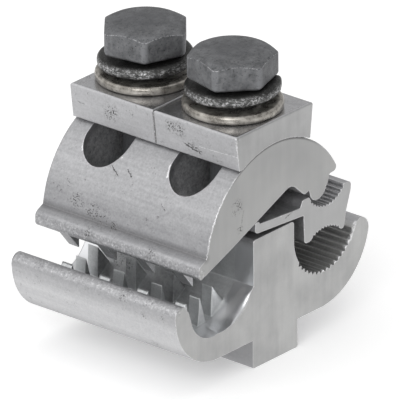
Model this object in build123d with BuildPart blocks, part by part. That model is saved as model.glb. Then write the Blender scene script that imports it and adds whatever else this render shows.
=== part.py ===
from build123d import *
import os
from math import cos, radians, sin, tan

os.makedirs("parts", exist_ok=True)

# Parallel-groove connector that clamps an insulated conductor between piercing
# ridges on its left and a bare conductor in serrated grooves on its right.
# Millimetres. X runs from the piercing groove to the bare groove, Y along both
# conductors, Z up along the bolts. The origin is the middle of the foot's
# bottom face. The clamp stands as it is sold: closed, with no conductor in it.

# Lengths along the conductors
connector_length = 45.0   # of the lower body, the keeper and the insert
saddle_overhang = 0.25    # the two saddles together reach this far past each end
saddle_gap = 0.1

# Bolts, and what they pass through
bolt_pitch = 23.9
bolt_shift = 0.55         # the tapped holes sit this far towards the back
thread_radius = 4.93
thread_clearance = 0.07   # radial, between thread crests and tapped hole
bolt_length = 50.0
bolt_end_chamfer = 1.0
hole_chamfer = 0.4
head_across_flats = 17.0
head_height = 6.4
head_crown = 0.5          # rise of the slightly domed top
head_flat_radius = 8.0    # where the head's chamfer starts
head_chamfer_angle = 30.0
front_head_turn = 17.0    # degrees, as the two heads were left
back_head_turn = 39.5
passage_clearance = 0.6   # radial, bolt through saddle and washers
insert_clearance = 0.4    # radial, bolt through the insert

# Flat and spring washers
washer_radius = 10.7
washer_thickness = 2.1
washer_edge = 0.4
spring_radius = 10.2
spring_section = 2.2      # height of the square wire
spring_split = 4.0        # degrees of turn left open at the split
spring_seat = 0.1         # between the spring washer's ends and its neighbours
spring_steps = 40         # straight runs that make up one turn
front_split = 320.0       # degrees, where each spring washer's lower end starts
back_split = 0.0

# Lower body: foot, block between the grooves, and two hooks
foot_width = 14.4
foot_height = 6.4
foot_edge = 0.5
block_top = 29.1
block_edge = 0.7
left_hook_x = -18.5
left_hook_radius = 13.4
left_lip_back = (-31.75, 19.0)
left_lip_crown = (-31.0, 21.4)
left_lip_tip = (-29.0, 21.7)
right_hook_x = 14.7
right_lip_back = (30.4, 18.9)
right_lip_crown = (29.9, 21.4)
right_lip_tip = (27.9, 22.6)

# Piercing groove, on the left
pierce_x = -17.3
pierce_z = 22.6
pierce_radius = 10.25
pierce_lip_angle = 198.0  # degrees round the groove, where the lip's lead-in starts
pierce_slope_angle = -49.0   # where the groove's circle gives way to a slope
pierce_slope = 45.0       # degrees, of that slope up to the block's wall
hook_hollow = (-25.0, 14.2)  # the hook's inside passes here, outside the circle
wall_to_groove = 0.3      # block wall outside the groove's circle
mouth_step = 0.05         # the flared mouth's inner end is this much wider than the groove
mouth_flare = 0.35        # and its rim this much wider

# Piercing ridges of the extrusion, cut across into rows of teeth.
# Each ridge: left foot, apex and right foot, in the cross-section
tooth_rows = 4
tooth_pitch = 10.4
tooth_length = 2.8
lower_ridges = [
    [(-25.4, 13.4), (-21.9, 18.5), (-20.4, 11.0)],
    [(-18.4, 11.6), (-17.6, 18.3), (-15.7, 11.6)],
    [(-14.1, 12.1), (-13.7, 19.6), (-9.6, 14.3)],
]

# Bare groove, on the right
bare_x = 16.0
bare_z = 24.4
bare_radius = 9.7
bare_lip_angle = -20.0
bare_notches = 16
bare_first_notch = 217.0
bare_last_notch = 335.0

# Serrations: depth and width of one V notch
coarse_notch = (0.7, 1.15)   # lower body
fine_notch = (0.45, 0.85)    # insert
notch_run_in = 0.3           # each notch is cut from this far inside its groove

# Keeper: arched cap that rocks under the saddles
arc_x = 0.4
arc_z = 26.7
keeper_radius = 22.3
keeper_rest_tilt = 13.7   # degrees, its piercing side hangs down
keeper_slot_clearance = 0.92   # each side of a bolt
keeper_slot_length = 28.4
keeper_slot_set = 0.3          # the slots are this much closer together than the bolts
keeper_underside = [
    (-13.4, 6.2), (-5.0, 7.5), (7.6, 9.5), (10.8, 4.8), (12.4, 4.9),
    (12.6, 1.35), (19.0, 1.35), (19.0, 4.9),
]
keeper_underside_radii = [0, 0, 2.6, 0.8, 0.2, 2.2, 3.4, 0.5]
clear_of_keeper = 40.0    # the cutting outline is closed this far out
underside_left_z = 2.75
underside_right_z = 2.0
keeper_lip = [(-18.5, 11.5), (-20.3, 8.5), (-23.3, 7.9), (-24.2, 4.4), (-15.0, 5.5)]
keeper_lip_radii = [0, 1.2, 1.3, 1.1, 0]
upper_ridges = [
    [(-23.0, 4.6), (-20.8, -0.1), (-19.4, 5.9)],
    [(-18.2, 5.0), (-16.5, 0.2), (-15.2, 6.4)],
]
keeper_tip_round = 0.9
relief_x = 17.1           # countersink in both ends of the keeper's finger
relief_z = 33.4
relief_radius = 3.0
relief_depth = 0.5

# Saddles: bars that carry the bolt loads onto the keeper's arch
saddle_half_width = 12.3
saddle_web = 5.3          # from the crown of the keeper's arch up to the saddle's top
saddle_skirt = 2.5        # from that crown down to the saddle's feet
saddle_taper = 0.9
saddle_edge = 0.5
arch_clearance = 0.15     # between the keeper's arch and the saddles

# Insert: arm on the bolts, with the bare conductor's second groove
insert_lift = 0.85        # arm above the block, held on the threads
insert_tilt = -4.2        # degrees, its head hangs down
arm_thickness = 1.95
insert_outline = [
    (-6.2, 0), (-6.2, 2.5), (-5.1, 2.5), (-4.9, arm_thickness), (8.3, arm_thickness),
    (9.0, 3.6), (24.7, 3.9), (24.6, 1.8), (23.4, -2.6), (23.0, -6.2), (10.2, -6.5), (9.5, 0),
]
insert_outline_radii = [0.9, 0.45, 0.4, 0.3, 0.4, 0.7, 0.9, 0, 0, 0.7, 0.7, 0.4]
upper_groove_centre = (16.6, 7.15)
upper_groove_radius = 6.6
upper_groove_notches = 12
upper_first_notch = 226.0
upper_last_notch = 322.0
lower_groove_centre = (17.1, -12.7)
lower_groove_radius = 8.1
lower_groove_notches = 10
lower_first_notch = 61.0
lower_last_notch = 119.0

# Worked out from the sizes above
foot_half = foot_width / 2
body_end = connector_length / 2
saddle_length = body_end + saddle_overhang - saddle_gap / 2
arch_crown = arc_z + keeper_radius
saddle_top = arch_crown + saddle_web
saddle_foot_z = arch_crown - saddle_skirt
front_bolt_y = bolt_shift - bolt_pitch / 2
back_bolt_y = bolt_shift + bolt_pitch / 2
tapped_radius = thread_radius + thread_clearance
passage_radius = thread_radius + passage_clearance
washer_top = saddle_top + washer_thickness
head_bottom = washer_top + 2 * spring_section + 2 * spring_seat
block_left = pierce_x + pierce_radius + wall_to_groove
block_right = bare_x - bare_radius
mouth_radius = pierce_radius + mouth_step
rim_radius = pierce_radius + mouth_flare
tooth_ys = [(i - (tooth_rows - 1) / 2) * tooth_pitch for i in range(tooth_rows)]
mouth_depth = body_end - tooth_ys[-1] - tooth_length / 2
insert_bottom = block_top + insert_lift
saddle_arch_radius = keeper_radius + arch_clearance
keeper_slot_width = 2 * (thread_radius + keeper_slot_clearance)
keeper_slot_pitch = bolt_pitch - keeper_slot_set
keeper_plane = Plane(
    origin=(arc_x, 0, arc_z),
    x_dir=(cos(radians(keeper_rest_tilt)), 0, sin(radians(keeper_rest_tilt))),
    z_dir=(0, -1, 0),
)
slot_plane = Plane(origin=(arc_x, 0, arc_z), x_dir=keeper_plane.x_dir, z_dir=keeper_plane.y_dir)
insert_plane = Plane(
    origin=(0, 0, insert_bottom),
    x_dir=(cos(radians(insert_tilt)), 0, sin(radians(insert_tilt))),
    z_dir=(0, -1, 0),
)


def circle_point(centre, radius, angle):
    """A point on a circle, angle in degrees."""
    x = centre[0] + radius * cos(radians(angle))
    z = centre[1] + radius * sin(radians(angle))
    return (x, z)


def shifted_plane(plane, y):
    """The same cross-section plane, moved along the conductors."""
    return Plane(origin=plane.origin + Vector(0, y, 0), x_dir=plane.x_dir, z_dir=plane.z_dir)


def notches(centre, radius, size, count, first, last):
    """V notches cut outwards from a groove's surface, angles in degrees."""
    depth, width = size
    half = width / 2
    step = (last - first) / (count - 1)
    with Locations(centre):
        with PolarLocations(radius, count, first, step * count):
            Polygon((-notch_run_in, -half), (0, -half), (depth, 0), (0, half),
                    (-notch_run_in, half), align=None, mode=Mode.SUBTRACT)


# Lower body
lip_start = circle_point((pierce_x, pierce_z), pierce_radius, pierce_lip_angle)
pierce_floor = (pierce_x, pierce_z - pierce_radius)
slope_foot = circle_point((pierce_x, pierce_z), pierce_radius, pierce_slope_angle)
slope_middle = circle_point((pierce_x, pierce_z), pierce_radius, (pierce_slope_angle - 90) / 2)
slope_rise = (block_left - slope_foot[0]) * tan(radians(pierce_slope))
slope_head = (block_left, slope_foot[1] + slope_rise)
bare_lip_start = circle_point((bare_x, bare_z), bare_radius, bare_lip_angle)
bare_floor = (bare_x, bare_z - bare_radius)

with BuildPart() as lower_body:
    with BuildSketch(Plane.XZ):
        with BuildLine():
            Polyline((left_hook_x, foot_height), (-foot_half, foot_height), (-foot_half, 0),
                     (foot_half, 0), (foot_half, foot_height), (right_hook_x, foot_height))
            TangentArc((right_hook_x, foot_height), right_lip_back, tangent=(1, 0))
            ThreePointArc(right_lip_back, right_lip_crown, right_lip_tip)
            Line(right_lip_tip, bare_lip_start)
            ThreePointArc(bare_lip_start, bare_floor, (block_right, bare_z))
            Polyline((block_right, bare_z), (block_right, block_top),
                     (block_left, block_top), slope_head, slope_foot)
            ThreePointArc(slope_foot, slope_middle, pierce_floor)
            ThreePointArc(pierce_floor, hook_hollow, lip_start)
            Line(lip_start, left_lip_tip)
            ThreePointArc(left_lip_tip, left_lip_crown, left_lip_back)
            TangentArc((left_hook_x, foot_height), left_lip_back, tangent=(-1, 0))
        make_face()
        notches((bare_x, bare_z), bare_radius, coarse_notch,
                bare_notches, bare_first_notch, bare_last_notch)
    extrude(amount=body_end, both=True)
    long_edges = lower_body.edges().filter_by(Axis.Y)
    fillet(long_edges.filter_by(lambda e: abs(e.center().Z - block_top) < 0.01), block_edge)
    fillet(long_edges.filter_by(lambda e: abs(e.center().Z) < 0.01), foot_edge)
    for y in tooth_ys:
        with BuildSketch(Plane.XZ.offset(-y)):
            for ridge in lower_ridges:
                Polygon(*ridge, align=None)
        extrude(amount=tooth_length / 2, both=True)
    # Flared mouths at both ends, as deep as the first row of teeth
    for side in (-1, 1):
        with Locations(Location((pierce_x, side * body_end, pierce_z), (-side * 90, 0, 0))):
            Cone(mouth_radius, rim_radius, mouth_depth,
                 align=(Align.CENTER, Align.CENTER, Align.MAX), mode=Mode.SUBTRACT)
    with Locations((0, front_bolt_y, block_top), (0, back_bolt_y, block_top)):
        Hole(tapped_radius)
    circles = lower_body.edges().filter_by(GeomType.CIRCLE)
    chamfer(circles.filter_by(lambda e: abs(e.arc_center.X) < 0.01), hole_chamfer)
lower_body.part.label = "lower_body"
export_step(lower_body.part, "parts/lower_body.step")

# Keeper
slot_top = keeper_radius + 1
with BuildPart() as keeper:
    with BuildSketch(keeper_plane) as keeper_section:
        Circle(keeper_radius)
        with BuildLine():
            FilletPolyline(*keeper_lip, radius=keeper_lip_radii, close=True)
        make_face()
        with BuildLine():
            FilletPolyline((-clear_of_keeper, underside_left_z), *keeper_underside,
                           (clear_of_keeper, underside_right_z),
                           (clear_of_keeper, -clear_of_keeper),
                           (-clear_of_keeper, -clear_of_keeper),
                           radius=[0] + keeper_underside_radii + [0, 0, 0], close=True)
        make_face(mode=Mode.SUBTRACT)
        fillet(keeper_section.vertices().sort_by(Axis.X)[-1], keeper_tip_round)
    extrude(amount=body_end, both=True)
    for y in tooth_ys:
        with BuildSketch(shifted_plane(keeper_plane, y)):
            for ridge in upper_ridges:
                Polygon(*ridge, align=None)
        extrude(amount=tooth_length / 2, both=True)
    with BuildSketch(slot_plane):
        with Locations((0, -keeper_slot_pitch / 2), (0, keeper_slot_pitch / 2)):
            SlotOverall(keeper_slot_length, keeper_slot_width)
    extrude(amount=slot_top, mode=Mode.SUBTRACT)
    # Both ends of the finger are countersunk back beside the bare groove
    for side in (-1, 1):
        with Locations(Location((relief_x, side * body_end, relief_z), (-side * 90, 0, 0))):
            Cone(0, relief_radius, relief_depth,
                 align=(Align.CENTER, Align.CENTER, Align.MAX), mode=Mode.SUBTRACT)
keeper.part.label = "keeper"
export_step(keeper.part, "parts/keeper.step")

# Saddles, one for each bolt
with BuildSketch(Plane.XZ) as saddle_section:
    with BuildLine():
        foot_half_width = saddle_half_width - saddle_taper
        Polyline((-saddle_half_width, saddle_top), (-foot_half_width, saddle_foot_z),
                 (foot_half_width, saddle_foot_z), (saddle_half_width, saddle_top), close=True)
    make_face()
    with Locations((arc_x, arc_z)):
        Circle(saddle_arch_radius, mode=Mode.SUBTRACT)
saddles = [
    ("front_saddle", -(saddle_length + saddle_gap) / 2, front_bolt_y),
    ("back_saddle", (saddle_length + saddle_gap) / 2, back_bolt_y),
]
for name, middle_y, bolt_y in saddles:
    with BuildPart() as saddle:
        with BuildSketch(Plane.XZ.offset(-middle_y)):
            add(saddle_section.sketch_local)
        extrude(amount=saddle_length / 2, both=True)
        top_edges = saddle.edges().filter_by(lambda e: abs(e.center().Z - saddle_top) < 0.01)
        fillet(top_edges, saddle_edge)
        with Locations((0, bolt_y, saddle_top)):
            Hole(passage_radius)
    saddle.part.label = name
    export_step(saddle.part, "parts/" + name + ".step")

# Insert
with BuildPart() as insert:
    with BuildSketch(insert_plane) as insert_section:
        with BuildLine():
            FilletPolyline(*insert_outline, radius=insert_outline_radii, close=True)
        make_face()
        with Locations(upper_groove_centre):
            Circle(upper_groove_radius, mode=Mode.SUBTRACT)
        with Locations(lower_groove_centre):
            Circle(lower_groove_radius, mode=Mode.SUBTRACT)
        notches(upper_groove_centre, upper_groove_radius, fine_notch,
                upper_groove_notches, upper_first_notch, upper_last_notch)
        notches(lower_groove_centre, lower_groove_radius, fine_notch,
                lower_groove_notches, lower_first_notch, lower_last_notch)
    extrude(amount=body_end, both=True)
    with Locations((0, front_bolt_y, insert_bottom), (0, back_bolt_y, insert_bottom)):
        Hole(thread_radius + insert_clearance)
insert.part.label = "insert"
export_step(insert.part, "parts/insert.step")

# Bolts with their spring and flat washers
spring_middle = (passage_radius + spring_radius) / 2
spring_width = spring_radius - passage_radius
spring_bottom = washer_top + spring_seat
stations = [
    ("front", front_bolt_y, front_head_turn, front_split),
    ("back", back_bolt_y, back_head_turn, back_split),
]
for place, y, turn, split in stations:
    with BuildPart() as flat_washer:
        with BuildSketch(Plane.XY.offset(saddle_top)):
            with Locations((0, y)):
                Circle(washer_radius)
                Circle(passage_radius, mode=Mode.SUBTRACT)
        extrude(amount=washer_thickness)
        top_circles = flat_washer.edges().filter_by(GeomType.CIRCLE).group_by(Axis.Z)[-1]
        chamfer(top_circles.sort_by(SortBy.RADIUS)[-1], washer_edge)
    flat_washer.part.label = place + "_flat_washer"
    export_step(flat_washer.part, "parts/" + place + "_flat_washer.step")

    # One turn of square wire, its ends a wire's height apart at the split
    with BuildPart() as spring_washer:
        for i in range(spring_steps + 1):
            share = i / spring_steps
            angle = split + share * (360 - spring_split)
            outward = Vector(cos(radians(angle)), sin(radians(angle)), 0)
            middle = Vector(0, y, spring_bottom + spring_section * (share + 0.5))
            across = outward.rotate(Axis.Z, 90)
            with BuildSketch(Plane(middle + outward * spring_middle, x_dir=outward, z_dir=across)):
                Rectangle(spring_width, spring_section)
        loft(ruled=True)
    spring_washer.part.label = place + "_spring_washer"
    export_step(spring_washer.part, "parts/" + place + "_spring_washer.step")

    with BuildPart() as bolt:
        with BuildSketch(Plane.XY.offset(head_bottom)):
            with Locations((0, y)):
                RegularPolygon(head_across_flats / 2, 6, major_radius=False, rotation=turn)
        extrude(amount=head_height)
        # The chamfer round the head's top, and its low dome
        top = head_bottom + head_height
        shoulder = top - head_crown
        beyond = 2 * head_flat_radius
        with BuildSketch(Plane.XZ.offset(-y)):
            with BuildLine():
                TangentArc((0, top), (head_flat_radius, shoulder), tangent=(1, 0))
                Polyline((head_flat_radius, shoulder),
                         (beyond, shoulder - head_flat_radius * tan(radians(head_chamfer_angle))),
                         (beyond, head_bottom), (0, head_bottom), (0, top))
            make_face()
        revolve(axis=Axis((0, y, 0), (0, 0, 1)), mode=Mode.INTERSECT)
        with Locations((0, y, head_bottom)):
            Cylinder(thread_radius, bolt_length, align=(Align.CENTER, Align.CENTER, Align.MAX))
        chamfer(bolt.edges().filter_by(GeomType.CIRCLE).sort_by(Axis.Z)[0], bolt_end_chamfer)
    bolt.part.label = place + "_bolt"
    export_step(bolt.part, "parts/" + place + "_bolt.step")
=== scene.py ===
import math

import bpy
from mathutils import Matrix, Vector


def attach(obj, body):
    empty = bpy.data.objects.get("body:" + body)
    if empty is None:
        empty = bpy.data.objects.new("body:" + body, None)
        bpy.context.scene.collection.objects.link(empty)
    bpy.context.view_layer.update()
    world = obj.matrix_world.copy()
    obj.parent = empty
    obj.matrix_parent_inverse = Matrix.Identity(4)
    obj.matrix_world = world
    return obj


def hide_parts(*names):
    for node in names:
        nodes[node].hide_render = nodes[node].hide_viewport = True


# A parallel-groove connector of extruded aluminium, with two steel bolts and
# their washers, on a white table in soft daylight.
# Metres, in the CAD frame: X from the piercing groove to the bare groove,
# Y along the conductors, Z up along the bolts.

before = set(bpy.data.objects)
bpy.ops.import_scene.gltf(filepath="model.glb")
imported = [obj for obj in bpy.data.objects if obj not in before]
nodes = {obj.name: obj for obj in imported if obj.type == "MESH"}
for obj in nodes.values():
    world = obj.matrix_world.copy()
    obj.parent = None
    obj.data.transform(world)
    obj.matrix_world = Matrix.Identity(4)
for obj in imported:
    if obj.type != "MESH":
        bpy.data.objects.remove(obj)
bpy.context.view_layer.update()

MM = 0.001


# Bolts and washers, millimetres, as in the CAD, and their finer shapes

# side, y of the bolt's axis, turn of its head, where its spring washer's wire
# starts, both in degrees
BOLTS = [("front", -11.4, 17.0, 320.0), ("back", 12.5, 39.5, 0.0)]
HEAD_FIRST_CORNER = 30.0  # degrees, from a head's turn to the primitive's
HEAD_FLATS = 17.0
HEAD_BOTTOM = 61.0
HEAD_HEIGHT = 6.4
HEAD_CROWN = 0.5          # rise of the domed top
HEAD_FLAT_RADIUS = 8.0    # where the head's chamfer starts
HEAD_CHAMFER_ANGLE = 30.0
HEAD_CORNER = 0.9         # the six upright corners are rounded by this
HEAD_EASE = 0.16          # and edges sharper than the angle below eased by this
HEAD_EASE_ANGLE = 20.0
HEAD_CORNER_HIGHLIGHT = (9.33, 9.48)     # mm from the axis: the rounded corners farther out are painted paler as a highlight
HEAD_MIDDLES = [(0, y, 67.0, 6.0) for _, y, _, _ in BOLTS]     # places for around
DOME_STEPS = 5
DOME_POLE = 0.1           # share of the dome's radius that stays flat
SHANK_RADIUS = 4.93
SHANK_SHADE = (60.6, 60.2)     # the coating's shade goes over from head to shank here
SHANK_SINK = 0.1          # the shank reaches this far into the head
BOLT_END = 11.0
CORE_RADIUS = 4.1         # at the foot of the thread
CORE_SHORT = 1.4          # the straight core stops short by its chamfers
CORE_CHAMFER = 0.5
THREAD_TOP = 37.0
THREAD_PITCH = 1.5
THREAD_START = 1.0        # above the bolt's end
THREAD_FOOT = 0.62        # half width of the V at its foot, and at its crest
THREAD_CREST = 0.1
THREAD_SINK = 0.1         # the V's foot lies this far inside the core
THREAD_CLEAR = 0.02       # and its crest this far inside the shank's radius
WASHER_BORE = 5.53
WASHER_RADIUS = 10.7
WASHER_BOTTOM = 54.3
WASHER_TOP = 56.4
WASHER_ROLL = 0.8         # the stamped edge is rolled over by this
SPRING_BORE = 5.53
SPRING_RADIUS = 10.2
SPRING_BOTTOM = 56.5
SPRING_WIRE = 2.7         # height of the wire's section
SPRING_CORNER = 1.1       # and how far its corners are rounded
SPRING_RISE = 1.75        # from one end of the wire to the other
SPRING_TURN = math.radians(356)

# Faces round each turned or wound form, and round each rounded corner
HEAD_STEPS = 128
SHANK_STEPS = 64
THREAD_STEPS = 32
WASHER_STEPS = 96
SPRING_STEPS = 90
CORNER_STEPS = 4

# Degrees: edges blunter than these are shaded as one curved face
RING_SMOOTH = 35
BOLT_SMOOTH = 30

# Marks on the aluminium
SAWN = (21.0, 21.5)       # mm from the middle: the sawn ends lie farther out
SHARP_PATCH_CORE = 0.94        # core of a patch with sharp bounds: a groove, and the painted shade under the hook
LINE_CORE = 0.4           # share of a scratch's half width that is at full strength


# Light

TABLE_SIZE = 8
TABLE_LIFT = 0.25         # seen by the camera alone, so that the table is white
ROOM_LIGHT = 0.55
LAMP_AIM = Vector((0, 0, 0.03))
# name, place, size, watts
LAMPS = [
    ("window", (-0.75, 0.6, 0.75), 1.2, 3.4),
    ("front window", (-0.95, -0.55, 0.65), 0.8, 6.2),
    ("ceiling", (0.1, 0.1, 1.3), 1.2, 2.6),
]


# Camera

PHOTO_WIDTH = 400
AZIMUTH = math.radians(-49.321)
ELEVATION = math.radians(23.844)
ROLL = math.radians(-0.493)
DISTANCE = 3.125
PIXELS_PER_METRE = 4792.58
SENSOR = 36.0
SEEN_POINT = Vector((0, 0.00015, 0.040))
SEEN_AT = (191.253, 154.814)     # where the photograph shows that point


def place_camera():
    """A long lens from the front left, so that SEEN_POINT lands at SEEN_AT."""
    right = Vector((math.cos(AZIMUTH), math.sin(AZIMUTH), 0))
    above = Vector((-math.sin(AZIMUTH) * math.sin(ELEVATION),
                    math.cos(AZIMUTH) * math.sin(ELEVATION), math.cos(ELEVATION)))
    back = right.cross(above)
    rolled_right = right * math.cos(ROLL) + above * math.sin(ROLL)
    rolled_above = above * math.cos(ROLL) - right * math.sin(ROLL)
    middle = PHOTO_WIDTH / 2
    aim = (SEEN_POINT + rolled_right * (middle - SEEN_AT[0]) / PIXELS_PER_METRE
           - rolled_above * (middle - SEEN_AT[1]) / PIXELS_PER_METRE)
    position = SEEN_POINT + back * DISTANCE
    z = (position - aim).normalized()
    x = (rolled_right - z * rolled_right.dot(z)).normalized()
    y = z.cross(x)
    data = bpy.data.cameras.new("camera")
    data.sensor_width = SENSOR
    data.lens = PIXELS_PER_METRE * DISTANCE * SENSOR / PHOTO_WIDTH
    data.clip_end = 50
    camera = bpy.data.objects.new("camera", data)
    turned = Matrix((x, y, z)).transposed().to_4x4()
    camera.matrix_world = Matrix.Translation(position) @ turned
    bpy.context.scene.collection.objects.link(camera)
    bpy.context.scene.camera = camera


# Materials

def linear(hex_colour):
    """An sRGB hex value as the linear colour that a shader wants."""
    values = [int(hex_colour[i:i + 2], 16) / 255 for i in (1, 3, 5)]
    return (*[v / 12.92 if v <= 0.04045 else ((v + 0.055) / 1.055) ** 2.4 for v in values], 1)


def grain_of(millimetres):
    """The scale that gives a noise or cell pattern grains of this size."""
    return 1 / (millimetres * MM)


def connect(tree, node, sockets):
    """Sets a node's inputs: a plain value, an output, or a node for its output in use."""
    for name, value in sockets.items():
        if isinstance(value, bpy.types.Node):
            value = next(output for output in value.outputs if output.enabled)
        if isinstance(value, bpy.types.NodeSocket):
            tree.links.new(value, node.inputs[name])
        else:
            node.inputs[name].default_value = value


def add(tree, kind, sockets=None, **settings):
    """Adds a node with its settings, and sets its inputs as connect does."""
    node = tree.nodes.new(kind)
    for name, value in settings.items():
        setattr(node, name, value)
    connect(tree, node, sockets or {})
    return node


def new_material(name, metallic):
    material = bpy.data.materials.new(name)
    material.use_nodes = True
    tree = material.node_tree
    tree.nodes.clear()
    shader = add(tree, "ShaderNodeBsdfPrincipled", {"Metallic": metallic})
    add(tree, "ShaderNodeOutputMaterial", {"Surface": shader})
    return material, tree, shader


def dress(piece, material):
    piece.data.materials.clear()
    piece.data.materials.append(material)


def around(tree, at, places, core):
    """1 within the core of any of the places, fading to 0 at its radius.

    A place is x, y, z and radius in millimetres, and core the share of the
    radius. A place with no y runs the whole length of the piece.
    """
    near = None
    for x, y, z, radius in places:
        flat = add(tree, "ShaderNodeVectorMath", {0: at, 1: (1, 0 if y is None else 1, 1)},
                   operation="MULTIPLY")
        gap = add(tree, "ShaderNodeVectorMath", {0: flat, 1: (x * MM, (y or 0) * MM, z * MM)},
                  operation="DISTANCE")
        fade = add(tree, "ShaderNodeMapRange", {"Value": gap, "From Min": radius * MM,
                                                "From Max": core * radius * MM})
        near = fade if near is None else add(tree, "ShaderNodeMath", {0: near, 1: fade},
                                             operation="MAXIMUM")
    return near


def along(tree, at, lines):
    """1 on any of the straight lines, fading to 0 at its half width.

    A line is its two ends and its half width, in millimetres.
    """
    near = None
    for start, end, width in lines:
        start = Vector(start) * MM
        run = Vector(end) * MM - start
        from_start = add(tree, "ShaderNodeVectorMath", {0: at, 1: start}, operation="SUBTRACT")
        share = add(tree, "ShaderNodeVectorMath", {0: from_start, 1: run / run.length_squared},
                    operation="DOT_PRODUCT")
        held = add(tree, "ShaderNodeClamp", {"Value": share})
        foot = add(tree, "ShaderNodeVectorMath", {0: run, "Scale": held}, operation="SCALE")
        gap = add(tree, "ShaderNodeVectorMath", {0: from_start, 1: foot}, operation="DISTANCE")
        fade = add(tree, "ShaderNodeMapRange", {"Value": gap, "From Min": width * MM,
                                                "From Max": LINE_CORE * width * MM})
        near = fade if near is None else add(tree, "ShaderNodeMath", {0: near, 1: fade},
                                             operation="MAXIMUM")
    return near


def worn_edge(tree, radius, first, last):
    """A softened normal, and how strongly it departs from the face: 1 on an edge."""
    soft = add(tree, "ShaderNodeBevel", {"Radius": radius}, samples=8)
    face = add(tree, "ShaderNodeNewGeometry")
    same = add(tree, "ShaderNodeVectorMath", {0: soft, 1: face.outputs["Normal"]},
               operation="DOT_PRODUCT")
    edge = add(tree, "ShaderNodeMapRange", {"Value": same, "From Min": first, "From Max": last})
    return soft, edge


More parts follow.
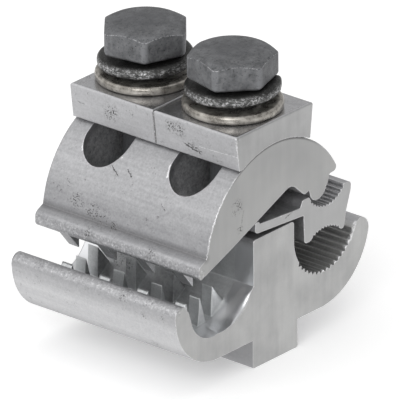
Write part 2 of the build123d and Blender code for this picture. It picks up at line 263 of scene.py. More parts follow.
# Extruded aluminium, sawn to length and tumbled: light grey and satin, with a
# fine mottle on its drawn faces, clusters of dark specks, short scratches, and
# brighter edges where pieces knocked together. The sawn ends are smoother.
def extruded_aluminium(name, sides, ends, specks, rubbed, scratches, burrs_and_highlights, tints=(),
                       shaded_creases=(), turned=None, seam=False, rim=None, pressed=False):
    """One piece's finish, with its marks as places for around and lines for along.

    sides, ends: darkest and lightest grey of the drawn faces and the sawn ends.
    tints: patches of other greys, each its places, their core and its two greys; some are
    painted shade and painted light.
    turned: from which y a groove's mouths are turned, the groove, and the scoop
    that the cutter left at one mouth.
    seam: whether there is dirt in a joint at y = 0.
    rim: x, z and radius of a round end, and the height from which its burr shows.
    pressed: whether the top is pressed smooth, so that it mirrors the washers.
    """
    material, tree, shader = new_material("extruded aluminium, " + name, 0.9)
    place = add(tree, "ShaderNodeTexCoord")
    at = place.outputs["Object"]
    apart = add(tree, "ShaderNodeSeparateXYZ", {0: at})
    facing = add(tree, "ShaderNodeSeparateXYZ", {0: place.outputs["Normal"]})
    # end is 1 on the sawn ends, and inside is 1 everywhere else
    sideways = add(tree, "ShaderNodeMath", {0: facing.outputs["Y"]}, operation="ABSOLUTE")
    across = add(tree, "ShaderNodeMapRange", {"Value": sideways, "From Min": 0.7,
                                              "From Max": 0.9})
    out = add(tree, "ShaderNodeMath", {0: apart.outputs["Y"]}, operation="ABSOLUTE")
    outer = add(tree, "ShaderNodeMapRange", {"Value": out, "From Min": SAWN[0] * MM,
                                             "From Max": SAWN[1] * MM})
    end = add(tree, "ShaderNodeMath", {0: across, 1: outer}, operation="MULTIPLY")
    inside = add(tree, "ShaderNodeMath", {0: 1.0, 1: end}, operation="SUBTRACT")

    # A mottle with a grain drawn out along the piece
    swell = add(tree, "ShaderNodeTexNoise", {"Vector": at, "Scale": grain_of(9), "Detail": 2})
    cloud = add(tree, "ShaderNodeTexNoise", {"Vector": at, "Scale": grain_of(1.6), "Detail": 8,
                                             "Roughness": 0.78})
    grit = add(tree, "ShaderNodeTexNoise", {"Vector": at, "Scale": grain_of(0.5), "Detail": 3,
                                            "Roughness": 0.7})
    drawn_at = add(tree, "ShaderNodeMapping", {"Vector": at, "Scale": (1, 0.04, 1)})
    drawn = add(tree, "ShaderNodeTexNoise", {"Vector": drawn_at, "Scale": grain_of(0.9),
                                             "Detail": 3})
    tone = cloud
    for share, pattern in ((0.2, swell), (0.45, grit), (0.2, drawn)):
        tone = add(tree, "ShaderNodeMix", {0: share, 2: tone, 3: pattern})
    shade = add(tree, "ShaderNodeMapRange", {"Value": tone, "From Min": 0.4, "From Max": 0.6})
    side = add(tree, "ShaderNodeMix", {0: shade, 6: linear(sides[0]), 7: linear(sides[1])},
               data_type="RGBA")
    # Faint upright marks of the saw on the ends
    sawn_at = add(tree, "ShaderNodeMapping", {"Vector": at, "Rotation": (0, 0.12, 0),
                                              "Scale": (1, 1, 0.12)})
    sawn = add(tree, "ShaderNodeTexNoise", {"Vector": sawn_at, "Scale": grain_of(1.8),
                                            "Detail": 4})
    faint = swell
    for share, pattern in ((0.35, sawn), (0.3, cloud)):
        faint = add(tree, "ShaderNodeMix", {0: share, 2: faint, 3: pattern})
    shade_end = add(tree, "ShaderNodeMapRange", {"Value": faint, "From Min": 0.36,
                                                 "From Max": 0.64})
    flat_end = add(tree, "ShaderNodeMix",
                   {0: shade_end, 6: linear(ends[0]), 7: linear(ends[1])}, data_type="RGBA")
    colour = add(tree, "ShaderNodeMix", {0: end, 6: side, 7: flat_end}, data_type="RGBA")

    # Patches of another grey, some of them painted shade and painted light. No tumbling stone
    # reached into a groove
    grooves_and_painted_shade = None
    for places, core, greys in tints:
        patch = add(tree, "ShaderNodeMath", {0: around(tree, at, places, core), 1: inside},
                    operation="MULTIPLY")
        tinted = add(tree, "ShaderNodeMix",
                     {0: shade, 6: linear(greys[0]), 7: linear(greys[1])}, data_type="RGBA")
        colour = add(tree, "ShaderNodeMix", {0: patch, 6: colour, 7: tinted}, data_type="RGBA")
        if core == SHARP_PATCH_CORE:     # its edges stay sharp and clean
            grooves_and_painted_shade = patch if grooves_and_painted_shade is None else add(
                tree, "ShaderNodeMath", {0: grooves_and_painted_shade, 1: patch}, operation="MAXIMUM")
    # A groove's mouths, turned with a cutter: brighter and smoother
    if turned:
        start, groove, scoop = turned
        smooth = add(tree, "ShaderNodeMapRange", {"Value": out, "From Min": start * MM,
                                                  "From Max": (start + 0.5) * MM})
        for share in (around(tree, at, groove, SHARP_PATCH_CORE), inside):
            smooth = add(tree, "ShaderNodeMath", {0: smooth, 1: share}, operation="MULTIPLY")

    # Dark specks of dirt and oxide, thick in the places given and thin elsewhere
    fine = add(tree, "ShaderNodeTexNoise", {"Vector": at, "Scale": grain_of(0.38), "Detail": 2,
                                            "Roughness": 0.6})
    dots = add(tree, "ShaderNodeMapRange", {"Value": fine, "From Min": 0.52, "From Max": 0.6})
    stray = add(tree, "ShaderNodeTexNoise", {"Vector": at, "Scale": grain_of(2.2), "Detail": 3,
                                             "Roughness": 0.8})
    strays = add(tree, "ShaderNodeMapRange", {"Value": stray, "From Min": 0.58,
                                              "From Max": 0.7, "To Max": 0.6})
    broken = add(tree, "ShaderNodeMapRange", {"Value": stray, "From Min": 0.4,
                                              "From Max": 0.5})
    patches = add(tree, "ShaderNodeMath", {0: around(tree, at, specks, 0.4), 1: broken},
                  operation="MULTIPLY")
    strays = add(tree, "ShaderNodeMath", {0: strays, 1: inside}, operation="MULTIPLY")
    if grooves_and_painted_shade:
        strays = add(tree, "ShaderNodeMath", {0: strays, 1: grooves_and_painted_shade}, operation="SUBTRACT",
                     use_clamp=True)
    thick = add(tree, "ShaderNodeMath", {0: patches, 1: strays}, operation="MAXIMUM")
    dirt = add(tree, "ShaderNodeMath", {0: dots, 1: thick}, operation="MULTIPLY")
    # Scratches, not quite straight
    wander = add(tree, "ShaderNodeVectorMath", {0: grit.outputs["Color"], 1: (0.5, 0.5, 0.5)},
                 operation="SUBTRACT")
    shifted = add(tree, "ShaderNodeVectorMath", {0: wander, "Scale": 0.9 * MM},
                  operation="SCALE")
    ragged = add(tree, "ShaderNodeVectorMath", {0: at, 1: shifted}, operation="ADD")
    marks = [along(tree, ragged, scratches)]
    # Painted shade along the creases given
    crease_shade = around(tree, at, shaded_creases, 0.1)
    if crease_shade:
        marks.append(add(tree, "ShaderNodeMath", {0: crease_shade, 1: 0.45}, operation="MULTIPLY"))
    # Dirt in the joint between two pieces
    if seam:
        joint = add(tree, "ShaderNodeMapRange", {"Value": out, "From Min": 0.32 * MM,
                                                 "From Max": 0.15 * MM, "To Max": 0.9})
        below = add(tree, "ShaderNodeMapRange", {"Value": facing.outputs["Z"], "From Min": 0.6,
                                                 "From Max": 0.3})
        marks.append(add(tree, "ShaderNodeMath", {0: joint, 1: below}, operation="MULTIPLY"))
    # The shadow line of a saw burr rolled over a round end's rim
    if rim:
        x, z, radius, low = rim
        flat = add(tree, "ShaderNodeVectorMath", {0: at, 1: (1, 0, 1)}, operation="MULTIPLY")
        reach = add(tree, "ShaderNodeVectorMath", {0: flat, 1: (x * MM, 0, z * MM)},
                    operation="DISTANCE")
        line = add(tree, "ShaderNodeMapRange", {"Value": reach, "From Min": (radius - 0.55) * MM,
                                                "From Max": (radius - 0.15) * MM})
        upper = add(tree, "ShaderNodeMapRange", {"Value": apart.outputs["Z"],
                                                 "From Min": low * MM,
                                                 "From Max": (low + 4) * MM, "To Max": 0.75})
        for share in (upper, end):
            line = add(tree, "ShaderNodeMath", {0: line, 1: share}, operation="MULTIPLY")
        marks.append(line)
    dark = dirt
    for mark in marks:
        dark = add(tree, "ShaderNodeMath", {0: dark, 1: mark}, operation="MAXIMUM")

    # Rubbed and knocked bands: a coarse grain of bright and dull spots
    chips = add(tree, "ShaderNodeTexNoise", {"Vector": at, "Scale": grain_of(0.55), "Detail": 4,
                                             "Roughness": 0.75})
    bright = add(tree, "ShaderNodeMapRange", {"Value": chips, "From Min": 0.5,
                                              "From Max": 0.64})
    patchy = add(tree, "ShaderNodeMapRange", {"Value": cloud, "From Min": 0.4, "From Max": 0.6,
                                              "To Min": 0.2})
    roll = around(tree, at, rubbed, 0.5)
    band = add(tree, "ShaderNodeMath", {0: roll, 1: patchy}, operation="MULTIPLY")
    spots = band
    for share in (bright, 0.7):
        spots = add(tree, "ShaderNodeMath", {0: spots, 1: share}, operation="MULTIPLY")
    holes = add(tree, "ShaderNodeMapRange", {"Value": chips, "From Min": 0.44,
                                             "From Max": 0.36, "To Max": 0.8})
    pits = add(tree, "ShaderNodeMath", {0: band, 1: holes}, operation="MULTIPLY")
    # A bright line on open edges, rounder where the piece is rubbed
    softness = add(tree, "ShaderNodeMapRange", {"Value": roll, "To Min": 0.3 * MM,
                                                "To Max": 0.8 * MM})
    if turned:
        softness = add(tree, "ShaderNodeMix", {0: around(tree, at, [scoop], 0.3), 2: softness,
                                               3: 2.5 * MM})
    soft, edge = worn_edge(tree, softness, 0.995, 0.92)
    knocked = add(tree, "ShaderNodeMapRange", {"Value": bright, "To Min": 0.42})
    line = add(tree, "ShaderNodeMath", {0: edge, 1: knocked}, operation="MULTIPLY")
    for covered in (roll, crease_shade, grooves_and_painted_shade):
        if covered:
            away = add(tree, "ShaderNodeMath", {0: 1.0, 1: covered}, operation="SUBTRACT")
            line = add(tree, "ShaderNodeMath", {0: line, 1: away}, operation="MULTIPLY")
    # Bright layer: rubbed spots, knocked edges, burrs, and painted highlights on some of the
    # lines given
    shiny = spots
    for share in (line, along(tree, ragged, burrs_and_highlights)):
        shiny = add(tree, "ShaderNodeMath", {0: shiny, 1: share}, operation="MAXIMUM")

    # dark holds specks, scratches, joint dirt, and painted shade in creases and along a rim;
    # shiny holds wear, burrs and painted highlights
    layers = [(dark, "#4d4c4b"), (shiny, "#f2f2f3"), (pits, "#727275")]
    if turned:
        layers.insert(0, (smooth, "#dfe0e2"))
    for share, layer in layers:
        colour = add(tree, "ShaderNodeMix", {0: share, 6: colour, 7: linear(layer)},
                     data_type="RGBA")
    rough = add(tree, "ShaderNodeMapRange", {"Value": cloud, "From Min": 0.3, "From Max": 0.7,
                                             "To Min": 0.38, "To Max": 0.54})
    if turned:
        rough = add(tree, "ShaderNodeMix", {0: smooth, 2: rough, 3: 0.28})
    if pressed:
        top = add(tree, "ShaderNodeMapRange", {"Value": facing.outputs["Z"], "From Min": 0.9,
                                               "From Max": 0.98})
        rough = add(tree, "ShaderNodeMix", {0: top, 2: rough, 3: 0.2})
    quiet = add(tree, "ShaderNodeMix", {0: end, 2: tone, 3: swell})
    height = add(tree, "ShaderNodeMix", {0: band, 2: quiet, 3: chips})
    pitted = add(tree, "ShaderNodeMath", {0: height, 1: dark}, operation="SUBTRACT")
    bump = add(tree, "ShaderNodeBump", {"Height": pitted, "Normal": soft,
                                        "Distance": 0.07 * MM, "Strength": 0.6})
    connect(tree, shader, {"Base Color": colour, "Roughness": rough, "Normal": bump})
    return material


# Zinc-flake coated steel, dipped and baked: matt dark grey with a soft mottle,
# and small nicks along the edges that show lighter.
def zinc_flake_steel():
    material, tree, shader = new_material("zinc flake steel", 0.6)
    at = add(tree, "ShaderNodeTexCoord").outputs["Object"]
    cloud = add(tree, "ShaderNodeTexNoise", {"Vector": at, "Scale": grain_of(2), "Detail": 9,
                                             "Roughness": 0.75})
    shade = add(tree, "ShaderNodeMapRange", {"Value": cloud, "From Min": 0.36,
                                             "From Max": 0.64})
    colour = add(tree, "ShaderNodeMix", {0: shade, 6: linear("#58595b"), 7: linear("#808183")},
                 data_type="RGBA")
    # Heads are darker towards the middle of their tops
    middle = add(tree, "ShaderNodeMath", {0: around(tree, at, HEAD_MIDDLES, 0.5), 1: 0.45},
                 operation="MULTIPLY")
    # Their corners are rounded, and painted paler there as a highlight
    flat = add(tree, "ShaderNodeVectorMath", {0: at, 1: (1, 1, 0)}, operation="MULTIPLY")
    corner = None
    for _, middle_y, _, _ in BOLTS:
        gap = add(tree, "ShaderNodeVectorMath", {0: flat, 1: (0, middle_y * MM, 0)},
                  operation="DISTANCE")
        outer = add(tree, "ShaderNodeMapRange", {"Value": gap, "From Min": HEAD_CORNER_HIGHLIGHT[0] * MM,
                                                 "From Max": HEAD_CORNER_HIGHLIGHT[1] * MM,
                                                 "To Max": 0.55})
        corner = outer if corner is None else add(tree, "ShaderNodeMath",
                                                  {0: corner, 1: outer}, operation="MINIMUM")
    # The shank never saw the wrench or the weather
    apart = add(tree, "ShaderNodeSeparateXYZ", {0: at})
    shank = add(tree, "ShaderNodeMapRange", {"Value": apart.outputs["Z"],
                                             "From Min": SHANK_SHADE[0] * MM,
                                             "From Max": SHANK_SHADE[1] * MM})
    # Nicks show paler on the edges, and pits darker
    soft, edge = worn_edge(tree, 0.3 * MM, 0.995, 0.965)
    chips = add(tree, "ShaderNodeTexNoise", {"Vector": at, "Scale": grain_of(0.6), "Detail": 5,
                                             "Roughness": 0.8})
    knocked = add(tree, "ShaderNodeMapRange", {"Value": chips, "From Min": 0.44,
                                               "From Max": 0.56, "To Min": 0.08})
    nick = add(tree, "ShaderNodeMath", {0: edge, 1: knocked}, operation="MULTIPLY")
    dents = add(tree, "ShaderNodeMapRange", {"Value": chips, "From Min": 0.49,
                                             "From Max": 0.44})
    dents = add(tree, "ShaderNodeMath", {0: dents, 1: edge}, operation="MULTIPLY")
    pits = add(tree, "ShaderNodeMapRange", {"Value": chips, "From Min": 0.43,
                                            "From Max": 0.37, "To Max": 0.75})
    pits = add(tree, "ShaderNodeMath", {0: pits, 1: dents}, operation="MAXIMUM")
    for share, layer in ((middle, "#58595c"), (corner, "#8c8d90"), (shank, "#66676a"),
                         (nick, "#bfbfc1"), (pits, "#303032")):
        colour = add(tree, "ShaderNodeMix", {0: share, 6: colour, 7: linear(layer)},
                     data_type="RGBA")
    rough = add(tree, "ShaderNodeMapRange", {"Value": cloud, "From Min": 0.3, "From Max": 0.7,
                                             "To Min": 0.46, "To Max": 0.62})
    height = add(tree, "ShaderNodeMix", {0: 0.5, 2: cloud, 3: chips})
    bump = add(tree, "ShaderNodeBump", {"Height": height, "Normal": soft,
                                        "Distance": 0.15 * MM, "Strength": 0.8})
    connect(tree, shader, {"Base Color": colour, "Roughness": rough, "Normal": bump})
    return material


# Plain stamped steel, bright but brownish, with a few scuffs.
def stamped_steel():
    material, tree, shader = new_material("stamped steel", 0.8)
    at = add(tree, "ShaderNodeTexCoord").outputs["Object"]
    cloud = add(tree, "ShaderNodeTexNoise", {"Vector": at, "Scale": grain_of(2.2), "Detail": 6,
                                             "Roughness": 0.66})
    shade = add(tree, "ShaderNodeMapRange", {"Value": cloud, "From Min": 0.4, "From Max": 0.6})
    colour = add(tree, "ShaderNodeMix", {0: shade, 6: linear("#807c76"), 7: linear("#bab6af")},
                 data_type="RGBA")
    grit = add(tree, "ShaderNodeTexNoise", {"Vector": at, "Scale": grain_of(0.5), "Detail": 3,
                                            "Roughness": 0.8})
    specks = add(tree, "ShaderNodeMapRange", {"Value": grit, "From Min": 0.64, "From Max": 0.7,
                                              "To Max": 0.2})
    colour = add(tree, "ShaderNodeMix", {0: specks, 6: colour, 7: linear("#3d3a36")},
                 data_type="RGBA")
    rough = add(tree, "ShaderNodeMapRange", {"Value": cloud, "From Min": 0.35,
                                             "From Max": 0.65, "To Min": 0.2, "To Max": 0.42})
    bump = add(tree, "ShaderNodeBump", {"Height": cloud, "Distance": 0.06 * MM,
                                        "Strength": 0.7})
    connect(tree, shader, {"Base Color": colour, "Roughness": rough, "Normal": bump})
    return material


# Spring steel blackened in oil: near black on its flat faces, with a coarse
# bright grain on the outer rim, where the wire was drawn and rubbed.
def blackened_spring_steel():
    material, tree, shader = new_material("blackened spring steel", 0.8)
    place = add(tree, "ShaderNodeTexCoord")
    at = place.outputs["Object"]
    flattened = add(tree, "ShaderNodeMapping", {"Vector": at, "Scale": (0.7, 0.7, 1.3)})
    grains = add(tree, "ShaderNodeTexNoise", {"Vector": flattened, "Scale": grain_of(0.45),
                                              "Detail": 5, "Roughness": 0.8})
    bright = add(tree, "ShaderNodeMapRange", {"Value": grains, "From Min": 0.5,
                                              "From Max": 0.6})
    facing = add(tree, "ShaderNodeSeparateXYZ", {0: place.outputs["Normal"]})
    flat = add(tree, "ShaderNodeMath", {0: facing.outputs["Z"]}, operation="ABSOLUTE")
    rim = add(tree, "ShaderNodeMapRange", {"Value": flat, "From Min": 0.85, "From Max": 0.15,
                                           "To Min": 0.08})
    cloud = add(tree, "ShaderNodeTexNoise", {"Vector": at, "Scale": grain_of(2.2), "Detail": 4})
    worn = add(tree, "ShaderNodeMapRange", {"Value": cloud, "From Min": 0.4, "From Max": 0.55,
                                            "To Min": 0.3})
    rim = add(tree, "ShaderNodeMath", {0: rim, 1: worn}, operation="MULTIPLY")
    shown = add(tree, "ShaderNodeMath", {0: bright, 1: rim}, operation="MULTIPLY")
    colour = add(tree, "ShaderNodeMix", {0: rim, 6: linear("#30302f"), 7: linear("#5e5e5d")},
                 data_type="RGBA")
    colour = add(tree, "ShaderNodeMix", {0: shown, 6: colour, 7: linear("#dededf")},
                 data_type="RGBA")
    bump = add(tree, "ShaderNodeBump", {"Height": grains, "Distance": 0.12 * MM,
                                        "Strength": 0.9})
    connect(tree, shader, {"Base Color": colour, "Roughness": 0.42, "Normal": bump})
    return material


# Shapes

def choose(*pieces):
    """Selects these pieces alone and makes the last one active."""
    bpy.ops.object.select_all(action="DESELECT")
    for piece in pieces:
        piece.select_set(True)
    bpy.context.view_layer.objects.active = pieces[-1]


def new_piece(primitive, **form):
    """Adds a primitive with nothing else selected, and its place in its mesh."""
    bpy.ops.object.select_all(action="DESELECT")
    primitive(**form)
    settle(bpy.context.object)
    return bpy.context.object


def edit(piece):
    """Enters edit mode on one piece with nothing selected in it."""
    choose(piece)
    bpy.ops.object.mode_set(mode="EDIT")
    bpy.ops.mesh.select_all(action="DESELECT")


def edit_all(piece):
    """Enters edit mode on one piece with all of it selected."""
    edit(piece)
    bpy.ops.mesh.select_all(action="SELECT")


def pick(piece, kind, wanted):
    """Selects the edges or faces for which wanted is true, in edit mode."""
    bpy.ops.object.mode_set(mode="OBJECT")
    mesh = piece.data
    for part in list(mesh.vertices) + list(mesh.edges) + list(mesh.polygons):
        part.select = False
    for part in getattr(mesh, kind):
        part.select = wanted(part)
    bpy.ops.object.mode_set(mode="EDIT")
    bpy.ops.mesh.select_mode(type={"edges": "EDGE", "polygons": "FACE"}[kind])


def leave_edit():
    bpy.ops.object.mode_set(mode="OBJECT")


def settle(piece):
    """Puts a piece's origin at the world's, with its place in its mesh."""
    choose(piece)
    bpy.ops.object.transform_apply(location=True, rotation=True, scale=True)


def extrude_down(depth):
    bpy.ops.mesh.extrude_region_move(TRANSFORM_OT_translate={"value": (0, 0, -depth * MM)})


def wind(section, angle, rise, steps, turns):
    """Winds a section up round its own origin, and closes it at both ends."""
    screw = section.modifiers.new("wound", "SCREW")
    screw.angle = angle
    screw.screw_offset = rise * MM
    screw.iterations = turns
    screw.steps = steps
    screw.render_steps = steps
    screw.use_merge_vertices = False
    choose(section)
    bpy.ops.object.modifier_apply(modifier="wound")
    settle(section)
    edit_all(section)
    bpy.ops.mesh.fill_holes(sides=0)
    bpy.ops.mesh.select_all(action="SELECT")
    bpy.ops.mesh.normals_make_consistent(inside=False)
    leave_edit()


def ring_section(name, inner, outer, bottom, top, corner, middle_y, turn):
    """The outline of a ring's section, beside a bolt's axis: a rounded rectangle."""
    section = new_piece(bpy.ops.mesh.primitive_plane_add, size=1, location=(0, 0, 0),
                        rotation=(math.pi / 2, 0, 0))
    section.name = name
    section.scale = ((outer - inner) * MM, 1, (top - bottom) * MM)
    section.location = ((outer + inner) / 2 * MM, 0, (top + bottom) / 2 * MM)
    settle(section)
    edit(section)
    bpy.ops.mesh.select_mode(type="VERT")
    bpy.ops.mesh.select_all(action="SELECT")
    bpy.ops.mesh.bevel(offset=corner * MM, segments=CORNER_STEPS, affect="VERTICES")
    bpy.ops.mesh.select_all(action="SELECT")
    bpy.ops.mesh.delete(type="ONLY_FACE")
    leave_edit()
    section.rotation_euler = (0, 0, turn)
    settle(section)
    section.location = (0, middle_y * MM, 0)
    return section


def flat_washer(name, middle_y):
    """A stamped ring, its outer edge rolled over by the die."""
    washer = ring_section(name, WASHER_BORE, WASHER_RADIUS, WASHER_BOTTOM, WASHER_TOP,
                          WASHER_ROLL, middle_y, 0)
    settle(washer)
    edit_all(washer)
    bpy.ops.mesh.spin(steps=WASHER_STEPS, angle=2 * math.pi, center=(0, middle_y * MM, 0),
                      axis=(0, 0, 1))
    bpy.ops.mesh.select_all(action="SELECT")
    bpy.ops.mesh.remove_doubles(threshold=0.001 * MM)
    bpy.ops.mesh.normals_make_consistent(inside=False)
    leave_edit()
    return washer


def spring_washer(name, middle_y, split):
    """One turn of thick wire, sprung apart at the split."""
    washer = ring_section(name, SPRING_BORE, SPRING_RADIUS, SPRING_BOTTOM,
                          SPRING_BOTTOM + SPRING_WIRE, SPRING_CORNER, middle_y, split)
    wind(washer, SPRING_TURN, SPRING_RISE, SPRING_STEPS, 1)
    return washer


def hex_head(name, middle_y, turn):
    """A forged head: a hexagon cut back by a chamfer under a low dome."""
    head = new_piece(
        bpy.ops.mesh.primitive_cylinder_add, vertices=6, depth=HEAD_HEIGHT * MM,
        radius=HEAD_FLATS / 2 / math.cos(math.pi / 6) * MM,
        location=(0, middle_y * MM, (HEAD_BOTTOM + HEAD_HEIGHT / 2) * MM),
        rotation=(0, 0, turn))
    head.name = name
    edit(head)
    corners = head.data.vertices
    pick(head, "edges", lambda e: abs(corners[e.vertices[0]].co.z
                                      - corners[e.vertices[1]].co.z) > MM)
    bpy.ops.mesh.bevel(offset=HEAD_CORNER * MM, segments=CORNER_STEPS, affect="EDGES")
    leave_edit()

    # The turned form that the hexagon is cut back to: a cone under a dome
    reach = 2 * HEAD_FLAT_RADIUS
    drop = (reach - HEAD_FLAT_RADIUS) * math.tan(math.radians(HEAD_CHAMFER_ANGLE))
    shoulder = HEAD_BOTTOM + HEAD_HEIGHT - HEAD_CROWN
    form = new_piece(
        bpy.ops.mesh.primitive_cone_add, vertices=HEAD_STEPS, radius1=reach * MM,
        radius2=HEAD_FLAT_RADIUS * MM, depth=drop * MM,
        location=(0, middle_y * MM, (shoulder - drop / 2) * MM))
    edit(form)
    pick(form, "polygons", lambda f: f.normal.z < -0.9)
    extrude_down(HEAD_HEIGHT)
    # The dome, by insets that rise less and less
    pick(form, "polygons", lambda f: f.normal.z > 0.9)
    for step in range(DOME_STEPS):
        outer = 1 - step / DOME_STEPS
        inner = max(1 - (step + 1) / DOME_STEPS, DOME_POLE)
        bpy.ops.mesh.inset(thickness=(outer - inner) * HEAD_FLAT_RADIUS * MM,
                           depth=(outer ** 2 - inner ** 2) * HEAD_CROWN * MM)
    leave_edit()
    cut = head.modifiers.new("turned form", "BOOLEAN")
    cut.operation = "INTERSECT"
    cut.object = form
    choose(head)
    bpy.ops.object.modifier_apply(modifier="turned form")
    bpy.data.objects.remove(form)
    ease = head.modifiers.new("eased edges", "BEVEL")
    ease.width = HEAD_EASE * MM
    ease.segments = 2
    ease.limit_method = "ANGLE"
    ease.angle_limit = math.radians(HEAD_EASE_ANGLE)
    bpy.ops.object.modifier_apply(modifier="eased edges")
    return head


def hex_bolt(name, middle_y, turn):
    """A forged hexagon head, a plain shank and a rolled thread."""
    bolt = hex_head(name, middle_y, turn)

    # Plain shank, then the thread's core
    top = HEAD_BOTTOM + SHANK_SINK
    shank = new_piece(
        bpy.ops.mesh.primitive_cylinder_add, vertices=SHANK_STEPS, radius=SHANK_RADIUS * MM,
        depth=(top - THREAD_TOP) * MM, location=(0, middle_y * MM, (top + THREAD_TOP) / 2 * MM))
    edit(shank)
    pick(shank, "polygons", lambda f: f.normal.z < -0.9)
    step = SHANK_RADIUS - CORE_RADIUS
    bpy.ops.mesh.inset(thickness=step * MM, depth=step * MM)
    extrude_down(THREAD_TOP - BOLT_END - CORE_SHORT)
    bpy.ops.mesh.inset(thickness=CORE_CHAMFER * MM, depth=CORE_CHAMFER * MM)
    leave_edit()

    # One V of the thread, wound up the core
    ridge = new_piece(bpy.ops.mesh.primitive_circle_add, vertices=4, radius=1 * MM,
                      location=(0, 0, 0))
    foot = CORE_RADIUS - THREAD_SINK
    crest = SHANK_RADIUS - THREAD_CLEAR
    outline = [(foot, -THREAD_FOOT), (crest, -THREAD_CREST),
               (crest, THREAD_CREST), (foot, THREAD_FOOT)]
    for vertex, (x, z) in zip(ridge.data.vertices, outline):
        vertex.co = (x * MM, 0, (BOLT_END + THREAD_START + z) * MM)
    ridge.location = (0, middle_y * MM, 0)
    turns = int((THREAD_TOP - BOLT_END - THREAD_START) / THREAD_PITCH)
    wind(ridge, 2 * math.pi, THREAD_PITCH, THREAD_STEPS, turns)

    choose(shank, ridge, bolt)
    bpy.ops.object.join()
    return bolt


def finish_piece(piece, body, node, material, smooth_angle):
    """Shades a piece, dresses it and puts it in the place of its CAD node."""
    choose(piece)
    bpy.ops.object.shade_smooth_by_angle(angle=math.radians(smooth_angle))
    dress(piece, material)
    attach(piece, body)
    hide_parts(node)


# Table, room and lamps

def build_room():
    table = new_piece(bpy.ops.mesh.primitive_plane_add, size=TABLE_SIZE, location=(0, 0, 0))
    table.name = "table"
    material, tree, shader = new_material("white table", 0)
    surface = shader.outputs[0].links[0].to_node
    connect(tree, shader, {"Base Color": linear("#fbfbfb"), "Roughness": 0.9})
    white = add(tree, "ShaderNodeEmission")
    path = add(tree, "ShaderNodeLightPath")
    lift = add(tree, "ShaderNodeMath", {0: path.outputs["Is Camera Ray"], 1: TABLE_LIFT},
               operation="MULTIPLY")
    glow = add(tree, "ShaderNodeEmission", {"Strength": lift})
    pale = add(tree, "ShaderNodeAddShader", {0: shader, 1: glow})
    mirrored = add(tree, "ShaderNodeMath",
                   {0: path.outputs["Is Glossy Ray"], 1: path.outputs["Is Transmission Ray"]},
                   operation="MAXIMUM")
    mix = add(tree, "ShaderNodeMixShader", {"Fac": mirrored, 1: pale, 2: white})
    connect(tree, surface, {"Surface": mix})
    dress(table, material)

    world = bpy.data.worlds.new("room")
    bpy.context.scene.world = world
    world.use_nodes = True
    tree = world.node_tree
    tree.nodes.clear()
    path = add(tree, "ShaderNodeLightPath")
    plain = add(tree, "ShaderNodeBackground", {"Strength": ROOM_LIGHT, "Color": (1, 1, 1, 1)})
    bright = add(tree, "ShaderNodeBackground", {"Strength": 1.0, "Color": (1, 1, 1, 1)})
    mix = add(tree, "ShaderNodeMixShader", {"Fac": path.outputs["Is Camera Ray"], 1: plain,
                                            2: bright})
    add(tree, "ShaderNodeOutputWorld", {"Surface": mix})

    for name, place, size, power in LAMPS:
        data = bpy.data.lights.new(name, "AREA")
        data.size = size
        data.energy = power
        lamp = bpy.data.objects.new(name, data)
        lamp.location = place
        aim = LAMP_AIM - lamp.location
        lamp.rotation_euler = aim.to_track_quat("-Z", "Y").to_euler()
        bpy.context.scene.collection.objects.link(lamp)


place_camera()
build_room()

# The aluminium pieces keep their CAD shapes. Their marks lie where these
# millimetres say
keeper_finish = extruded_aluminium(
    "keeper", sides=("#a2a2a4", "#c0c0c2"), ends=("#a8a8a8", "#b6b6b5"),
    specks=[(-21.1, 13.5, 33, 2.4), (-21.3, 9, 31.8, 2.6), (-21.5, 6, 31, 2.6),
            (-21.6, 3, 30.4, 1.8), (-23.5, 8, 28, 1.8), (-23.5, -9, 28, 1.8),
            (-20.9, 19, 34, 1.2), (-12, -22.5, 38.4, 2.2), (-11, -22.5, 33, 1.2)],
    rubbed=[(-23.9, None, 27.2, 1.9)],
    scratches=[((-16.7, 7.6, 41.1), (-17.6, 5.1, 39.8), 0.16),
               ((-16.5, 3.4, 41.3), (-17.2, 1.9, 40.4), 0.16),
               ((-19, -8, 37.5), (-19.6, -9.4, 36.6), 0.12),
               ((-9.8, -22.5, 37), (-10.9, -22.5, 33), 0.07)],
    burrs_and_highlights=[((-14.3, 17.3, 43.5), (-15.9, 16.5, 41.9), 0.22),
           ((-13.7, -5.8, 44.0), (-15.8, -6.7, 42.1), 0.22),
           ((-15, 6.3, 42.9), (-15.1, 6.2, 42.8), 0.2),
           # a saw burr along the arch's front edge, with a painted highlight on it
           ((-21.7, -22.4, 29.8), (-20.5, -22.4, 34.3), 0.15),
           ((-20.5, -22.4, 34.3), (-18.5, -22.4, 38.5), 0.17),
           ((-18.5, -22.4, 38.5), (-15.6, -22.4, 42.2), 0.15),
           ((-15.6, -22.4, 42.2), (-12.1, -22.4, 45.2), 0.12)],
    tints=[([(0.4, None, 26.7, 21)], SHARP_PATCH_CORE, ("#b8b8ba", "#fafafa")),
           ([(-22, None, 30.5, 7)], 0.1, ("#97979a", "#b2b2b4"))],
    # painted shade: a dark line in the crease above the bead
    shaded_creases=[(-21.8, None, 30.1, 1.3)],
    rim=(0.4, 26.7, 22.3, 43))
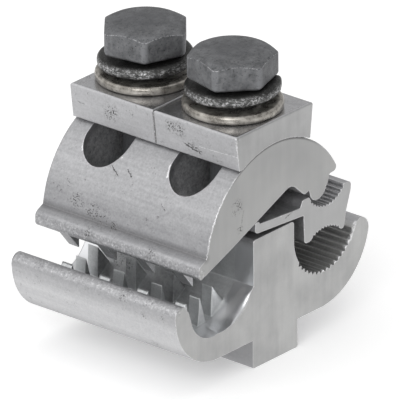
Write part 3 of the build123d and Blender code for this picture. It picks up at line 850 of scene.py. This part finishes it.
body_finish = extruded_aluminium(
    "lower body", sides=("#a4a4a6", "#bbbbbd"), ends=("#a9a9a9", "#c6c6c5"),
    specks=[(-30, 16, 20, 2.6), (-29, -14, 10, 2), (-30.5, -8, 20.5, 2),
            (-13.7, 6.5, 18, 2.2), (-9.6, 12, 16, 1.8)],
    rubbed=[(-30.9, None, 21.4, 1.7), (-21.6, None, 18.6, 1.2)],
    scratches=[((-27.1, -10, 9.6), (-26.7, -16, 9.2), 0.14)],
    burrs_and_highlights=[((24.7, -22.2, 18.8), (26.5, -22.2, 22), 0.45),
           ((15.6, -22.4, 14.6), (20, -22.4, 15.5), 0.5),
           ((20, -22.4, 15.5), (24.7, -22.2, 18.8), 0.6),
           # painted highlight: a broad bright streak on the turned mouth of the piercing groove
           ((-13, -19, 13.2), (-9.8, -19.6, 15.4), 1.5),
           ((-9.8, -19.6, 15.4), (-7.8, -20.4, 17.7), 1.1)],
    tints=[([(-17.3, None, 22.6, 12)], SHARP_PATCH_CORE, ("#c7c9ca", "#dadcdd")),
           ([(-12, 10, 17, 9), (-12, -3, 17, 9)], 0.5, ("#8e8f90", "#b0b1b2")),
           # painted shade: a darker patch on the foot, under the hook
           ([(-6.7, None, 1, 6)], SHARP_PATCH_CORE, ("#98989a", "#a4a4a6")),
           ([(16, None, 24.4, 10.8)], SHARP_PATCH_CORE, ("#b0b0af", "#c4c4c3")),
           # painted light: a paler patch low on the hook's outer face, lit from the table below
           ([(-32, None, 13.5, 7)], 0.4, ("#c6c6c8", "#d9d9da"))],
    turned=(17.2, [(-17.3, None, 22.6, 12)], (-10.5, -20, 15, 5)))
saddle_finish = extruded_aluminium(
    "saddles", sides=("#b5b5b7", "#cacacc"), ends=("#a4a4a4", "#c0c0c0"),
    specks=[(-12, 12, 50.5, 2.8), (-12, -4.6, 52, 2), (-12, -7, 51.8, 2.2),
            (-11.7, -10.2, 48.6, 1.8)],
    rubbed=[(-12, -22.6, 54, 1.2)],
    scratches=[((-11.7, -7.9, 49.0), (-11.6, -10.2, 48.4), 0.14),
               ((-11.7, -8.6, 48.6), (-11.6, -12.4, 47.7), 0.2),
               ((-11.7, -9.0, 49.3), (-11.6, -11.8, 48.6), 0.12),
               ((-11.7, -9.6, 48.0), (-11.6, -12.6, 48.2), 0.16),
               ((-11.7, -10.2, 48.9), (-11.6, -11.2, 47.6), 0.14),
               ((-11.9, 21, 50.4), (-11.9, 19, 50.2), 0.12)],
    burrs_and_highlights=[((-11.7, -12.3, 49.3), (-11.8, -22.7, 49.7), 0.1),
           # painted highlight: a bright line down the front saddle's upright corner
           ((-12.1, -22.6, 54), (-11.7, -22.7, 46), 0.15)],
    seam=True, pressed=True)
insert_finish = extruded_aluminium(
    "insert", sides=("#a6a6a8", "#c6c6c8"), ends=("#b0b0b0", "#bcbcbc"),
    specks=[(9, -22.5, 33, 1)],
    rubbed=[(24.7, None, 33, 1)],
    scratches=[((3, -22.5, 30.6), (7, -22.5, 31.8), 0.12)],
    burrs_and_highlights=[((2, -22.4, 31.6), (12, -22.4, 34.6), 0.18)])
for name, finish in (("keeper", keeper_finish), ("lower_body", body_finish),
                     ("insert", insert_finish), ("front_saddle", saddle_finish),
                     ("back_saddle", saddle_finish)):
    dress(nodes[name], finish)

# Bolts and washers are modelled anew, with thread and rounded edges
zinc = zinc_flake_steel()
stamped = stamped_steel()
blackened = blackened_spring_steel()
for side, middle_y, turn, split in BOLTS:
    flat = flat_washer(side + "_stamped_washer", middle_y)
    finish_piece(flat, "clamp_stack", side + "_flat_washer", stamped,
                 RING_SMOOTH)
    spring = spring_washer(side + "_split_washer", middle_y, math.radians(split))
    finish_piece(spring, "clamp_stack", side + "_spring_washer",
                 blackened, RING_SMOOTH)
    bolt = hex_bolt(side + "_hex_bolt", middle_y, math.radians(turn + HEAD_FIRST_CORNER))
    finish_piece(bolt, side + "_bolt", side + "_bolt", zinc,
                 BOLT_SMOOTH)

bpy.context.scene.view_settings.view_transform = "Standard"
